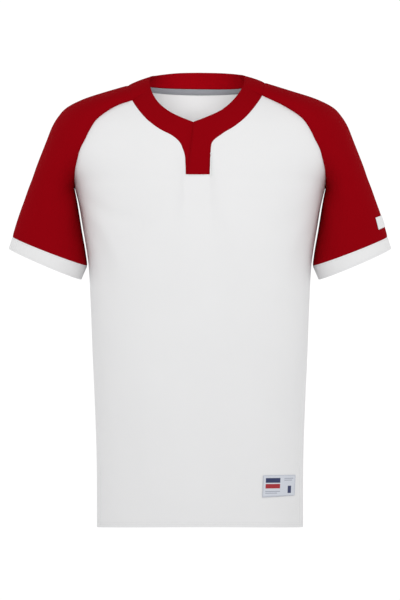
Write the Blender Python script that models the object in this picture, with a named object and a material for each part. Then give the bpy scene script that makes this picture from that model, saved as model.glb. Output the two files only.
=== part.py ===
"""Short-sleeved pullover baseball jersey, filled out as if worn, with nobody in it.

White front and back, red raglan sleeves with white cuffs, and a red neckband whose ends cross at a
small V and run down as a placket. Every piece is a wall of cloth on one shared outer surface: the
pieces that meet at a seam take the same seam points and the same thickness direction there.
Sizes are in millimetres and become metres when a mesh is made. The front faces -Y, and the origin
is level with the shoulder at the neck, in the middle of the body.
"""

import math

import bpy
import numpy as np

MILLIMETRE = 0.001

# Cloth
BODY_CLOTH = 1.5
BAND_CLOTH = 2.0
TRIM_CLOTH = 1.0
SEAM_GAP = 0.3
TRIM_GAP = 0.4

# Body: each row is a level section, a rounded rectangle of this half width, with its own depth in
# front of and behind the widest point, and the degrees by which the side seam lies ahead of that point
BODY_SQUARENESS = 2.3
BODY = (
    # height, half_width, front, back, seam_ahead
    (30.0, 100.0, 8.0, 50.0, 0.0),
    (-10.0, 150.0, 55.0, 83.0, 0.0),
    (-30.0, 205.0, 80.0, 100.0, 0.0),
    (-60.0, 254.0, 105.0, 115.0, 0.0),
    (-90.0, 263.0, 120.0, 126.0, 0.0),
    (-120.0, 258.0, 130.0, 133.0, 0.0),
    (-150.0, 240.0, 137.0, 138.0, 0.0),
    (-172.0, 226.0, 140.0, 140.0, 0.0),
    (-186.0, 222.0, 142.0, 141.0, 0.0),
    (-207.0, 216.6, 143.5, 141.5, 0.0),
    (-250.0, 209.0, 146.0, 141.0, 1.0),
    (-322.0, 197.8, 147.0, 138.0, 2.5),
    (-383.0, 194.3, 146.5, 135.0, 4.0),
    (-472.0, 191.0, 145.0, 132.0, 7.0),
    (-561.0, 187.0, 143.5, 133.0, 11.0),
    (-650.0, 183.8, 142.5, 136.0, 14.0),
    (-786.0, 182.9, 142.0, 140.0, 15.0),
)
HEM = -786.0
UNDERARM = -186.0
HEM_RISE = 2.0
SPREAD_FROM_NECK = 0.6
SIDE_ROWS = 14
SIDE_CROWDING = 1.4
PLACKET_FOOT_COLUMNS = 3

# Neck: the neckband's inner edge and outer seam as they hang on each side, from the middle of the
# back towards the V, and then the seam down the placket
NECK = {
    # inner_x, inner_y, inner_z, outer_x, outer_z
    -1: (
        (-1.5, 74.0, 21.6, -2.0, -12.8),
        (-40.0, 67.5, 20.6, -58.0, -10.8),
        (-76.0, 47.0, 16.2, -103.0, -6.0),
        (-88.0, 3.0, 11.5, -127.6, -2.3),
        (-86.8, -44.0, -10.0, -119.8, -30.0),
        (-74.6, -74.0, -32.4, -97.5, -60.2),
        (-54.5, -92.0, -49.6, -72.8, -80.2),
        (-32.0, -103.0, -60.8, -48.3, -93.5),
        (-11.1, -109.0, -69.2, -33.7, -108.3),
    ),
    1: (
        (-1.5, 74.0, 21.6, -2.0, -12.8),
        (37.0, 67.5, 20.6, 54.0, -12.0),
        (68.0, 47.0, 17.8, 92.0, -7.5),
        (78.0, 3.0, 13.5, 114.8, 2.5),
        (76.0, -44.0, -4.5, 110.0, -21.3),
        (60.3, -74.0, -27.6, 86.4, -53.8),
        (39.3, -92.0, -46.3, 63.1, -74.6),
        (14.0, -103.0, -59.1, 39.7, -89.4),
        (-11.1, -109.0, -69.2, 20.8, -106.5),
    ),
}
PLACKET_SEAM = {
    # place, x, height
    -1: ((8.45, -30.2, -117.2), (8.9, -27.3, -126.0), (9.7, -25.8, -143.8), (10.5, -25.3, -161.8)),
    1: ((8.45, 19.2, -117.2), (8.9, 19.05, -126.0), (9.7, 18.8, -143.8), (10.5, 18.6, -161.8)),
}
BACK_CORNER = 2
SHOULDER = 3
FRONT_CORNER = 4
V_POINT = 8
PLACKET_END = PLACKET_SEAM[1][-1][0]
BAND_ROLL = 1.6
BAND_ACROSS = 4
BACK_NECK_COLUMNS = 8
FRONT_NECK_COLUMNS = 10

# Placket: the over end lies on the under end, which lies flush with the front
PLACKET_ROWS = 4
OVER_EDGE = ((-16.4, -117.4), (-22.3, -161.8))
UNDER_EDGE = ((-2.0, -99.9), (2.1, -161.8))
OVER_LIFT = 3.2
LIFT_SLOPE = 0.3

# Sleeve: each row is a section from the front edge over the top line to the back edge. The first
# nine rows have the raglan seams as their edges, and the rest close along the underarm
SLEEVE = (
    # top_x, top_z, front_x, front_z, back_x, back_z, front_full, back_full
    (163.0, -12.5, 150.0, -41.0, 138.0, -28.0, 76.0, 80.0),
    (205.0, -26.0, 180.0, -61.5, 166.0, -54.0, 84.0, 93.0),
    (236.0, -41.5, 194.0, -81.0, 182.0, -80.0, 88.0, 98.0),
    (252.0, -58.5, 203.0, -99.0, 194.0, -104.0, 89.0, 99.0),
    (263.0, -77.0, 212.0, -117.0, 204.0, -124.0, 87.0, 96.0),
    (272.5, -101.0, 217.0, -135.0, 211.0, -142.0, 83.0, 90.0),
    (282.0, -125.0, 221.0, -153.0, 217.0, -158.0, 77.0, 83.0),
    (290.5, -147.0, 222.5, -172.0, 221.5, -174.0, 72.0, 76.0),
    (297.0, -166.0, 222.0, -186.0, 222.0, -186.0, 68.5, 71.0),
    (305.0, -187.0, 218.2, -207.0, 218.2, -207.0, 66.5, 69.0),
    (312.0, -207.0, 214.0, -232.0, 214.0, -232.0, 65.0, 67.5),
    (320.0, -229.0, 209.3, -262.0, 209.3, -262.0, 64.0, 66.0),
    (327.5, -252.0, 203.6, -294.0, 203.6, -294.0, 63.5, 65.0),
    (333.0, -271.0, 199.6, -322.0, 199.6, -322.0, 63.0, 64.0),
)
UNDERARM_ROW = 9
CUFF_ROW = len(SLEEVE)
RAGLAN_ROWS = 12
RAGLAN_CROWDING = 1.3
ARM_ROWS = 8
SLEEVE_HALF_COLUMNS = 12
CUFF_TOP = (339.4, -292.0)
CUFF_LOW = (210.6, -347.0)
CUFF_DIP = 3.5
CUFF_ACROSS = 2

# Trim
TAPE_WIDTH = 12.0
TAPE_GAP = 0.9
# The tag's corners in x and height, left to right seen from the front: above, and then below
TAG_ABOVE = ((111.5, -692.6), (168.1, -692.6))
TAG_BELOW = ((109.7, -731.8), (166.3, -728.8))
TAG_ACROSS, TAG_DOWN = 10, 4
PATCH_ROWS = (12.17, 13.05)
PATCH_BACK, PATCH_FRONT = math.radians(7.0), math.radians(37.0)
PATCH_ACROSS, PATCH_DOWN = 5, 2

WHITE_KNIT = (0.87, 0.87, 0.875)
RED_KNIT = (0.27, 0.006, 0.012)
TAPE_GREY = (0.30, 0.31, 0.36)
TAG_GROUND = (0.60, 0.63, 0.71)


def smooth_through(places, rows):
    """The smooth curve through these rows, each at its own place, as a function of the place."""
    places = np.asarray(places, float)
    rows = np.asarray(rows, float)
    step = np.diff(places)[:, None]
    slope = np.diff(rows, axis=0) / step
    tangent = np.empty_like(rows)
    tangent[0], tangent[-1] = slope[0], slope[-1]
    tangent[1:-1] = (step[1:] * slope[:-1] + step[:-1] * slope[1:]) / (step[1:] + step[:-1])

    def at(place):
        place = np.clip(place, places[0], places[-1])
        row = int(np.clip(np.searchsorted(places, place, side="right") - 1, 0, len(step) - 1))
        width = step[row, 0]
        t = (place - places[row]) / width
        start = (1 + 2 * t) * (1 - t) ** 2 * rows[row] + t * (1 - t) ** 2 * width * tangent[row]
        end = t * t * (3 - 2 * t) * rows[row + 1] - t * t * (1 - t) * width * tangent[row + 1]
        return start + end

    return at


BODY_FROM_HEM = np.array(BODY[::-1])
body_section = smooth_through(BODY_FROM_HEM[:, 0], BODY_FROM_HEM[:, 1:])


def body_point(angle, height):
    """A point of the body's outer face, at an angle from the middle of the front towards +X."""
    half_width, front, back, _ = body_section(height)
    depth = front if math.cos(angle) > 0 else back
    across = (abs(math.sin(angle)) / half_width) ** BODY_SQUARENESS
    along = (abs(math.cos(angle)) / depth) ** BODY_SQUARENESS
    reach = (across + along) ** (-1 / BODY_SQUARENESS)
    return np.array((reach * math.sin(angle), -reach * math.cos(angle), height))


def on_body(x, height, behind=False):
    """The point of the body's front or back face at this x and height."""
    half_width, front, back, _ = body_section(height)
    inside = max(0.0, 1 - (abs(x) / half_width) ** BODY_SQUARENESS) ** (1 / BODY_SQUARENESS)
    return np.array((x, back * inside if behind else -front * inside, height))


def neck_tables(side):
    """The band's inner edge and outer seam on one side, from the middle of the back to the V."""
    inner = [row[:3] for row in NECK[side]]
    outer = [(row[3], 0.0, row[4]) for row in NECK[side]]
    down = [(x, 0.0, z) for _, x, z in PLACKET_SEAM[side]]
    places = list(range(V_POINT + 1))
    down_places = [place for place, _, _ in PLACKET_SEAM[side]]
    return smooth_through(places, inner), smooth_through(places + down_places, outer + down)


def sleeve_table(side):
    """The sleeve's section values, whose first row comes from the neck seam on that side."""
    _, outer = neck_tables(side)
    top = outer(SHOULDER)
    front = on_body(*outer(FRONT_CORNER)[[0, 2]])
    back = on_body(*outer(BACK_CORNER)[[0, 2]], behind=True)
    neck_row = (
        abs(top[0]),
        top[2],
        abs(front[0]),
        front[2],
        abs(back[0]),
        back[2],
        abs(front[1]) + 0.5,
        abs(back[1]) + 0.5,
    )
    return smooth_through(range(CUFF_ROW + 1), (neck_row,) + SLEEVE)


def half_section(top, edge, full, share):
    """A point of the arc from the top line (share 0) to the front or back edge (share 1)."""
    depth = abs(edge[1])
    end = math.pi - math.asin(min(1.0, depth / full))
    fall = math.hypot(top[0] - edge[0], top[2] - edge[2])
    radius = fall / (1 - math.cos(end))
    turn = share * end
    fall_share = radius * (1 - math.cos(turn)) / fall
    point = top + (edge - top) * fall_share
    point[1] = math.copysign(full * math.sin(turn), edge[1]) if share < 1 else edge[1]
    return point


def sleeve_point(table, side, row, share):
    """A point of the sleeve's outer face: share runs from -1, its back edge, to 1, its front edge."""
    top_x, top_z, front_x, front_z, back_x, back_z, front_full, back_full = table(row)
    top = np.array((side * top_x, 0.0, top_z))
    if share >= 0:
        edge, full = on_body(side * front_x, front_z), front_full
    else:
        edge, full = on_body(side * back_x, back_z, behind=True), back_full
    if row >= UNDERARM_ROW:
        edge[1] = 0.0
    facing = math.copysign(1.0, share)
    edge[1] = -facing * abs(edge[1])
    if edge[1] == 0:
        edge[1] = -facing * 1e-9
    point = half_section(top, edge, full, abs(share))
    past_underarm = max(0.0, row - UNDERARM_ROW) / (CUFF_ROW - UNDERARM_ROW)
    if row > UNDERARM_ROW:
        point += cuff_dip(side, -point[1] / full, past_underarm)
    if row >= UNDERARM_ROW and abs(share) == 1:
        point[1] = 0.0
    return point


def cuff_dip(side, forward, share):
    """How far a point near the cuff hangs lower in front and higher behind."""
    down = np.array((CUFF_TOP[0] - SLEEVE[-1][0], 0.0, CUFF_TOP[1] - SLEEVE[-1][1]))
    down[0] *= side
    return down / np.linalg.norm(down) * CUFF_DIP * forward * share


def sleeve_rows():
    raglan = UNDERARM_ROW * (1 - np.linspace(1, 0, RAGLAN_ROWS + 1) ** RAGLAN_CROWDING)
    arm = np.linspace(UNDERARM_ROW, CUFF_ROW, ARM_ROWS + 1)
    return list(raglan) + list(arm[1:])


def sleeve_shares():
    return np.arange(-SLEEVE_HALF_COLUMNS, SLEEVE_HALF_COLUMNS + 1) / SLEEVE_HALF_COLUMNS


def sleeve_grid(side):
    """Rows from the neck to the cuff, and columns from the back edge over the top to the front edge."""
    table = sleeve_table(side)
    shares = sleeve_shares()
    return np.array([[sleeve_point(table, side, row, share) for share in shares] for row in sleeve_rows()])


def cuff_grid(side, sleeve):
    """A ring from the sleeve's last row down to the cuff's edge."""
    top = np.array((side * CUFF_TOP[0], 0.0, CUFF_TOP[1]))
    low = np.array((side * CUFF_LOW[0], 0.0, CUFF_LOW[1]))
    full = SLEEVE[-1][6:]
    edge = []
    for share in sleeve_shares()[:-1]:
        facing = math.copysign(1.0, share)
        point = top + (low - top) * (1 - math.cos(share * math.pi)) / 2
        depth = full[0] if share >= 0 else full[1]
        point[1] = -depth * abs(math.sin(share * math.pi)) * facing
        edge.append(point + cuff_dip(side, -point[1] / depth, 1.0))
    start = sleeve[-1, :-1]
    down = np.linspace(0, 1, CUFF_ACROSS + 1)
    return np.array([start + (np.array(edge) - start) * share for share in down])


def neck_seam(side, sleeve):
    """The band's outer seam in three stretches: along the back, the sleeve and the front."""
    _, outer = neck_tables(side)
    behind = np.linspace(0, BACK_CORNER, BACK_NECK_COLUMNS + 1)
    ahead = np.linspace(FRONT_CORNER, V_POINT, FRONT_NECK_COLUMNS + 1)
    back = [on_body(*outer(place)[[0, 2]], behind=True) for place in behind]
    back[-1] = sleeve[0, 0]
    front = [on_body(*outer(place)[[0, 2]]) for place in ahead]
    front[0] = sleeve[0, -1]
    down = [on_body(*outer(V_POINT + (PLACKET_END - V_POINT) * share)[[0, 2]]) for share in np.linspace(0, 1, PLACKET_ROWS + 1)]
    return np.array(back), sleeve[0], np.array(front + down[1:])


def blend(sides, ends, side_share, end_share):
    """A four-sided patch filled from its sides and ends, with a share up the sides for each coordinate."""
    (left, right), (low, high) = sides, ends
    s = np.asarray(end_share)[None, :, None]
    t = np.asarray(side_share)
    between_ends = (1 - t) * low[None] + t * high[None]
    between_sides = (1 - s) * left[:, None] + s * right[:, None]
    corners = (1 - s) * (1 - t) * low[0] + s * (1 - t) * low[-1] + (1 - s) * t * high[0] + s * t * high[-1]
    return between_ends + between_sides - corners


def side_seam(side):
    """The side seam from the hem to the underarm, as angles and heights."""
    heights = UNDERARM + (HEM - UNDERARM) * np.linspace(1, 0, SIDE_ROWS + 1) ** SIDE_CROWDING
    return [(side * (math.pi / 2 - math.radians(body_section(z)[3])), z) for z in heights]


def panel_grid(top, raglans, behind):
    """Front or back, from its top edge down to the hem, filled between its own seam lines."""
    turn = math.pi if behind else 0.0
    facing = -1 if behind else 1

    def flat(point):
        return np.array((math.atan2(facing * point[0], -facing * point[1]), point[2]))

    sides = []
    for side, raglan in zip((-facing, facing), raglans):
        seam = [(angle - side * turn, z) for angle, z in side_seam(side)]
        sides.append(np.array(seam + [flat(point) for point in raglan[1:]]))
    high = np.array([flat(point) for point in top])
    share = np.linspace(0, 1, len(top))
    low = sides[0][0] + (sides[1][0] - sides[0][0]) * share[:, None]
    if not behind:
        low[:, 1] += HEM_RISE * np.sin(share * math.pi)
    middle = (sides[0] + sides[1])[:, 1] / 2
    climb = (middle - middle[0]) / (middle[-1] - middle[0])
    spread = 1 - (1 - SPREAD_FROM_NECK) * (4 * share * (1 - share)) ** 8
    climb = np.stack(np.broadcast_arrays(1 - (1 - climb[:, None]) ** spread, climb[:, None]), axis=2)
    filled = blend(sides, (low, high), climb, share)[::-1]
    grid = np.array([[body_point(turn + angle, z) for angle, z in row] for row in filled])
    grid[0] = top
    for column, side, raglan in ((0, -facing, raglans[0]), (-1, facing, raglans[1])):
        grid[: len(raglan), column] = raglan[::-1]
        grid[len(raglan) - 1 :, column] = [body_point(angle, z) for angle, z in side_seam(side)[::-1]]
    return grid


def band_grid(side, seam):
    """One half of the neckband, from the middle of the back to the foot of the placket."""
    inner_at, _ = neck_tables(side)
    over = side > 0
    outer = np.concatenate([seam[0], seam[1][1:], seam[2][1:]])
    places = (
        list(np.linspace(0, BACK_CORNER, BACK_NECK_COLUMNS + 1))
        + list(np.linspace(BACK_CORNER, FRONT_CORNER, 2 * SLEEVE_HALF_COLUMNS + 1)[1:])
        + list(np.linspace(FRONT_CORNER, V_POINT, FRONT_NECK_COLUMNS + 1)[1:])
    )
    inner = [inner_at(place) for place in places]
    end_edge = OVER_EDGE if over else UNDER_EDGE
    top = inner_at(V_POINT)
    edge = smooth_through(
        [-top[2]] + [-z for _, z in end_edge],
        [(top[0], 0.0, top[2])] + [(x, 0.0, z) for x, z in end_edge],
    )
    for share in np.linspace(0, 1, PLACKET_ROWS + 1)[1:]:
        x, _, z = edge(-top[2] + share * (top[2] - end_edge[-1][1]))
        inner.append(on_body(x, z))
    inner = np.array(inner)
    across = np.linspace(0, 1, BAND_ACROSS + 1)
    grid = np.array([inner + (outer - inner) * share for share in across])
    along = np.gradient(grid, axis=1)
    down = np.gradient(grid, axis=0)
    outwards = np.cross(down, along) * -side
    outwards /= np.linalg.norm(outwards, axis=2, keepdims=True)
    half_front = FRONT_NECK_COLUMNS // 2
    rise = np.clip((np.arange(len(inner)) - len(places) + 1 + half_front) / half_front, 0, 1)
    rise = rise * rise * (3 - 2 * rise)
    roll = BAND_ROLL * np.sin(across * math.pi)[:, None] * (1 - rise)
    if over:
        roll += OVER_LIFT * rise * np.clip((1 - across) / LIFT_SLOPE, 0, 1)[:, None]
    return grid + outwards * roll[:, :, None]


def vertex_normals(grid, closed):
    """The outward direction at each point, from the faces around it."""
    if closed:
        grid = np.concatenate([grid, grid[:, :1]], axis=1)
    face = np.cross(grid[1:, 1:] - grid[:-1, :-1], grid[:-1, 1:] - grid[1:, :-1])
    total = np.zeros_like(grid)
    total[:-1, :-1] += face
    total[:-1, 1:] += face
    total[1:, :-1] += face
    total[1:, 1:] += face
    if closed:
        total[:, 0] += total[:, -1]
        total = total[:, :-1]
    return total


def point_key(point):
    return tuple(np.round(point, 3))


def shared_normals(pieces):
    """Each piece's normals, where pieces that share a seam point share the direction too."""
    sums = {}
    for piece in pieces:
        for point, normal in zip(piece["grid"].reshape(-1, 3), piece["raw"].reshape(-1, 3)):
            sums[point_key(point)] = sums.get(point_key(point), 0) + normal
    for piece in pieces:
        found = np.array([sums[point_key(point)] for point in piece["grid"].reshape(-1, 3)])
        found /= np.linalg.norm(found, axis=1, keepdims=True)
        piece["normals"] = found.reshape(piece["grid"].shape)


def drawn_back(grid, closed):
    """The grid with its free edges drawn back from the seam lines by half the gap."""
    moved = grid.copy()
    edges = [(0, 1, 0), (-1, -2, 0)]
    if not closed:
        edges += [(0, 1, 1), (-1, -2, 1)]
    for edge, inside, axis in edges:
        line = np.take(grid, edge, axis=axis)
        inwards = np.take(grid, inside, axis=axis) - line
        if closed:
            along = np.roll(line, -1, axis=0) - np.roll(line, 1, axis=0)
        else:
            along = np.gradient(line, axis=0)
        along /= np.linalg.norm(along, axis=1, keepdims=True)
        inwards -= along * np.sum(inwards * along, axis=1, keepdims=True)
        inwards /= np.linalg.norm(inwards, axis=1, keepdims=True)
        index = (edge, slice(None)) if axis == 0 else (slice(None), edge)
        moved[index] += inwards * SEAM_GAP / 2
    return moved


def wall_faces(rows, columns, closed):
    """Quads of a wall whose outer points come first and inner points after them."""
    count = rows * columns
    around = columns if closed else columns - 1

    def corner(row, column, inner):
        return row * columns + column % columns + inner * count

    faces = []
    for row in range(rows - 1):
        for column in range(around):
            quad = [(row, column), (row + 1, column), (row + 1, column + 1), (row, column + 1)]
            faces.append([corner(r, c, 0) for r, c in quad])
            faces.append([corner(r, c, 1) for r, c in reversed(quad)])
    rims = []
    for column in range(around):
        rims.append(((0, column + 1), (0, column), True))
        rims.append(((rows - 1, column + 1), (rows - 1, column), False))
    if not closed:
        for row in range(rows - 1):
            rims.append(((row + 1, 0), (row, 0), False))
            rims.append(((row + 1, columns - 1), (row, columns - 1), True))
    for after, before, turned in rims:
        near, far = [corner(*before, layer) for layer in (0, 1)], [corner(*after, layer) for layer in (0, 1)]
        pair = [[near[0], near[1], far[1]], [near[0], far[1], far[0]]]
        faces += [face[::-1] for face in pair] if turned else pair
    return faces


def knit_material(name, colour, roughness):
    material = bpy.data.materials.new(name)
    material.use_nodes = True
    shader = material.node_tree.nodes["Principled BSDF"]
    shader.inputs["Base Color"].default_value = (*colour, 1.0)
    shader.inputs["Roughness"].default_value = roughness
    shader.inputs["Metallic"].default_value = 0.0
    return material


def make_wall(piece, parent):
    """The closed solid of one piece: its outer face, its inner face and the rim between them."""
    outer = drawn_back(piece["grid"], piece["closed"])
    inner = outer - piece["normals"] * piece["cloth"]
    points = np.concatenate([outer.reshape(-1, 3), inner.reshape(-1, 3)]) * MILLIMETRE
    rows, columns = outer.shape[:2]
    mesh = bpy.data.meshes.new(piece["name"])
    mesh.from_pydata(points.tolist(), [], wall_faces(rows, columns, piece["closed"]))
    mesh.shade_smooth()
    mesh.set_sharp_from_angle(angle=math.radians(50))
    mesh.materials.append(piece["material"])
    made = bpy.data.objects.new(piece["name"], mesh)
    made.parent = parent
    bpy.context.scene.collection.objects.link(made)
    return made


def new_piece(name, grid, cloth, material, closed=False):
    return {
        "name": name,
        "grid": grid,
        "cloth": cloth,
        "material": material,
        "closed": closed,
        "raw": vertex_normals(grid, closed),
    }


def raised(grid, height):
    """The grid moved out from the face that it lies on."""
    outwards = vertex_normals(grid, False)
    return grid + outwards / np.linalg.norm(outwards, axis=2, keepdims=True) * height


def tape_grid(pieces):
    """A strip inside the back neck, from shoulder to shoulder, half on the band and half below it."""
    count = BACK_NECK_COLUMNS + SLEEVE_HALF_COLUMNS
    half = SLEEVE_HALF_COLUMNS
    over, under = pieces["neckband_over"], pieces["neckband_under"]
    above, seam = np.concatenate([over["grid"][-2:, -count - 1 :], under["grid"][-2:, 1 : count + 1]], axis=1)
    outwards = np.concatenate([over["normals"][-1, -count - 1 :], under["normals"][-1, 1 : count + 1]])
    below = np.concatenate(
        [
            pieces["sleeve_left"]["grid"][1, half:],
            pieces["back_panel"]["grid"][1, 1:-1],
            pieces["sleeve_right"]["grid"][1, : half + 1],
        ]
    )
    inside = seam - outwards * (BAND_CLOTH + TAPE_GAP)
    rows = []
    for target in (above, None, below):
        step = np.zeros_like(seam) if target is None else target - seam
        length = np.linalg.norm(step, axis=1, keepdims=True) + 1e-9
        rows.append(inside + step / length * TAPE_WIDTH / 2)
    return np.array(rows)


def tag_grid():
    """The hem tag between its corners seen from ahead, following the cloth under it."""
    above, below = np.array(TAG_ABOVE), np.array(TAG_BELOW)
    rows = []
    for share in np.linspace(0, 1, TAG_DOWN + 1):
        left, right = above + (below - above) * share
        rows.append([on_body(*(left + (right - left) * across)) for across in np.linspace(0, 1, TAG_ACROSS + 1)])
    return raised(np.array(rows), TRIM_GAP + TRIM_CLOTH)


def patch_grid():
    """The patch low on the outside of the left sleeve."""
    table = sleeve_table(1)
    turns = np.linspace(PATCH_FRONT, PATCH_BACK, PATCH_ACROSS + 1) / math.pi
    rows = np.linspace(*PATCH_ROWS, PATCH_DOWN + 1)
    flush = np.array([[sleeve_point(table, 1, row, turn) for turn in turns] for row in rows])
    return raised(flush, TRIM_GAP + TRIM_CLOTH)


def main():
    for old in list(bpy.data.objects):
        bpy.data.objects.remove(old)
    white = knit_material("white_knit", WHITE_KNIT, 0.8)
    red = knit_material("red_knit", RED_KNIT, 0.75)
    tape = knit_material("grey_tape", TAPE_GREY, 0.8)
    tag = knit_material("woven_tag", TAG_GROUND, 0.7)
    jersey = bpy.data.objects.new("jersey", None)
    bpy.context.scene.collection.objects.link(jersey)

    sleeves = {side: sleeve_grid(side) for side in (-1, 1)}
    seams = {side: neck_seam(side, sleeves[side]) for side in (-1, 1)}
    raglan_end = RAGLAN_ROWS + 1
    fronts = [sleeves[side][:raglan_end, -1][::-1] for side in (-1, 1)]
    backs = [sleeves[side][:raglan_end, 0][::-1] for side in (1, -1)]
    foot = [
        on_body(*(seams[-1][2][-1] + (seams[1][2][-1] - seams[-1][2][-1]) * share)[[0, 2]])
        for share in np.linspace(0, 1, PLACKET_FOOT_COLUMNS + 1)[1:-1]
    ]
    front_top = np.concatenate([seams[-1][2], foot, seams[1][2][::-1]])
    back_top = np.concatenate([seams[1][0][::-1], seams[-1][0][1:]])

    pieces = [
        new_piece("front_panel", panel_grid(front_top, fronts, False), BODY_CLOTH, white),
        new_piece("back_panel", panel_grid(back_top, backs, True), BODY_CLOTH, white),
    ]
    for side, name in ((-1, "right"), (1, "left")):
        grid = sleeves[side]
        cuff = cuff_grid(side, grid)
        band = band_grid(side, seams[side])
        if side > 0:
            grid, cuff, band = grid[:, ::-1], cuff[:, ::-1], band[:, ::-1]
        pieces.append(new_piece(f"sleeve_{name}", grid, BODY_CLOTH, red))
        pieces.append(new_piece(f"cuff_{name}", cuff, BAND_CLOTH, white, closed=True))
        pieces.append(new_piece("neckband_over" if side > 0 else "neckband_under", band, BAND_CLOTH, red))
    shared_normals(pieces)
    named = {piece["name"]: piece for piece in pieces}
    trim = [
        new_piece("neck_tape", tape_grid(named), TRIM_CLOTH, tape),
        new_piece("hem_tag", tag_grid(), TRIM_CLOTH, tag),
        new_piece("sleeve_patch", patch_grid(), TRIM_CLOTH, white),
    ]
    shared_normals(trim)
    for piece in pieces + trim:
        make_wall(piece, jersey)


main()
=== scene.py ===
"""Short-sleeved pullover baseball jersey, filled out as if worn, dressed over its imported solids.

The cloth is laid out again on the jersey's own outer surface, with finer rows, and then gets its
creases, seam valleys, thickness, stitches and finishes. Tables and outlines are in millimetres and
become metres when a sheet is made. The front faces -Y and +X is the wearer's left.
"""

import math

import bpy
import numpy as np
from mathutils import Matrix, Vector, kdtree


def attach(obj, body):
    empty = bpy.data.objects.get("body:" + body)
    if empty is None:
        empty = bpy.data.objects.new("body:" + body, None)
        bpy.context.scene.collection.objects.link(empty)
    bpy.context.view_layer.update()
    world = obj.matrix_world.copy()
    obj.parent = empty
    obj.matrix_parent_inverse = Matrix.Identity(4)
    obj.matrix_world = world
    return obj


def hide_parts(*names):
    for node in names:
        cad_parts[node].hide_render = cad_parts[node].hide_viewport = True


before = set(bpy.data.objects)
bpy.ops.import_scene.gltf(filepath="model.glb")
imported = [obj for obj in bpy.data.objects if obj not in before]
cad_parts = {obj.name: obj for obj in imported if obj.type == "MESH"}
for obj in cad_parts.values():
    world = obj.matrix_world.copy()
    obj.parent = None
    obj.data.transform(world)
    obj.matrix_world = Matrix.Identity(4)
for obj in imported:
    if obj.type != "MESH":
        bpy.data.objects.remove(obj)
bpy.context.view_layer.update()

MILLIMETRE = 0.001

# -------- the jersey's cut
# Sections of the body from the neck down to the hem
BODY_SQUARENESS = 2.3
BODY = (
    # height, half_width, front, back, seam_ahead
    (30.0, 100.0, 8.0, 50.0, 0.0),
    (-10.0, 150.0, 55.0, 83.0, 0.0),
    (-30.0, 205.0, 80.0, 100.0, 0.0),
    (-60.0, 254.0, 105.0, 115.0, 0.0),
    (-90.0, 263.0, 120.0, 126.0, 0.0),
    (-120.0, 258.0, 130.0, 133.0, 0.0),
    (-150.0, 240.0, 137.0, 138.0, 0.0),
    (-172.0, 226.0, 140.0, 140.0, 0.0),
    (-186.0, 222.0, 142.0, 141.0, 0.0),
    (-207.0, 216.6, 143.5, 141.5, 0.0),
    (-250.0, 209.0, 146.0, 141.0, 1.0),
    (-322.0, 197.8, 147.0, 138.0, 2.5),
    (-383.0, 194.3, 146.5, 135.0, 4.0),
    (-472.0, 191.0, 145.0, 132.0, 7.0),
    (-561.0, 187.0, 143.5, 133.0, 11.0),
    (-650.0, 183.8, 142.5, 136.0, 14.0),
    (-786.0, 182.9, 142.0, 140.0, 15.0),
)
HEM = -786.0
UNDERARM = -186.0
HEM_RISE = 2.0
# How a panel's rows spread from the neck in its middle, while at its sides they follow the seams
SPREAD_FROM_NECK = 0.6
SPREAD_SHARPNESS = 8

# The neckband's inner edge and outer seam on each side, from the middle of the back to the V, and
# the seam on down the placket. Places count the rows and run on past the V
NECK = {
    # inner_x, inner_y, inner_z, outer_x, outer_z
    -1: (
        (-1.5, 74.0, 21.6, -2.0, -12.8),
        (-40.0, 67.5, 20.6, -58.0, -10.8),
        (-76.0, 47.0, 16.2, -103.0, -6.0),
        (-88.0, 3.0, 11.5, -127.6, -2.3),
        (-86.8, -44.0, -10.0, -119.8, -30.0),
        (-74.6, -74.0, -32.4, -97.5, -60.2),
        (-54.5, -92.0, -49.6, -72.8, -80.2),
        (-32.0, -103.0, -60.8, -48.3, -93.5),
        (-11.1, -109.0, -69.2, -33.7, -108.3),
    ),
    1: (
        (-1.5, 74.0, 21.6, -2.0, -12.8),
        (37.0, 67.5, 20.6, 54.0, -12.0),
        (68.0, 47.0, 17.8, 92.0, -7.5),
        (78.0, 3.0, 13.5, 114.8, 2.5),
        (76.0, -44.0, -4.5, 110.0, -21.3),
        (60.3, -74.0, -27.6, 86.4, -53.8),
        (39.3, -92.0, -46.3, 63.1, -74.6),
        (14.0, -103.0, -59.1, 39.7, -89.4),
        (-11.1, -109.0, -69.2, 20.8, -106.5),
    ),
}
PLACKET_SEAM = {
    # place, x, height
    -1: ((8.45, -30.2, -117.2), (8.9, -27.3, -126.0), (9.7, -25.8, -143.8), (10.5, -25.3, -161.8)),
    1: ((8.45, 19.2, -117.2), (8.9, 19.05, -126.0), (9.7, 18.8, -143.8), (10.5, 18.6, -161.8)),
}
BACK_CORNER = 2
SHOULDER = 3
FRONT_CORNER = 4
V_POINT = 8
PLACKET_END = PLACKET_SEAM[1][-1][0]
BAND_ROLL = 1.6
RISE_FROM = 6.0
# Where the two ends of the placket stop, in x and height, and how far the top one stands out
OVER_EDGE = ((-16.4, -117.4), (-22.3, -161.8))
UNDER_EDGE = ((-2.0, -99.9), (2.1, -161.8))
OVER_LIFT = 1.4
LIFT_SLOPE = 0.3

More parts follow.
